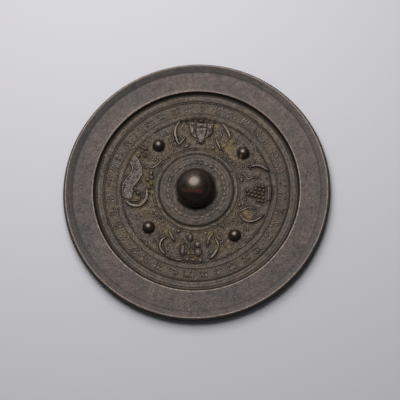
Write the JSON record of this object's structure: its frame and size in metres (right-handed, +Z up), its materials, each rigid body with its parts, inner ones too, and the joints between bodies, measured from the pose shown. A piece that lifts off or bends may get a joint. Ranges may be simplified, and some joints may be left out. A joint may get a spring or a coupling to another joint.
{
  "type": "ancient bronze mirror",
  "caption": "Round cast bronze mirror lying on its reflecting face: broad raised rim, pierced domed knob, nipples, and relief deities, beasts and bands on the back.",
  "frame": {"origin": "middle of the small flat spot on the reflecting face that the mirror rests on", "axes": "+Z up, out of the decorated back; +X along the cord hole through the knob"},
  "size_m": [0.22, 0.22, 0.0241],
  "materials": {
    "bronze": "dark brown to grey-green bronze patina, worn bright on the ridges, glossy on the knob, ochre earth in the recesses"
  },
  "bodies": {
    "root": {"mirror": "bronze"}
  },
  "joints": []
}
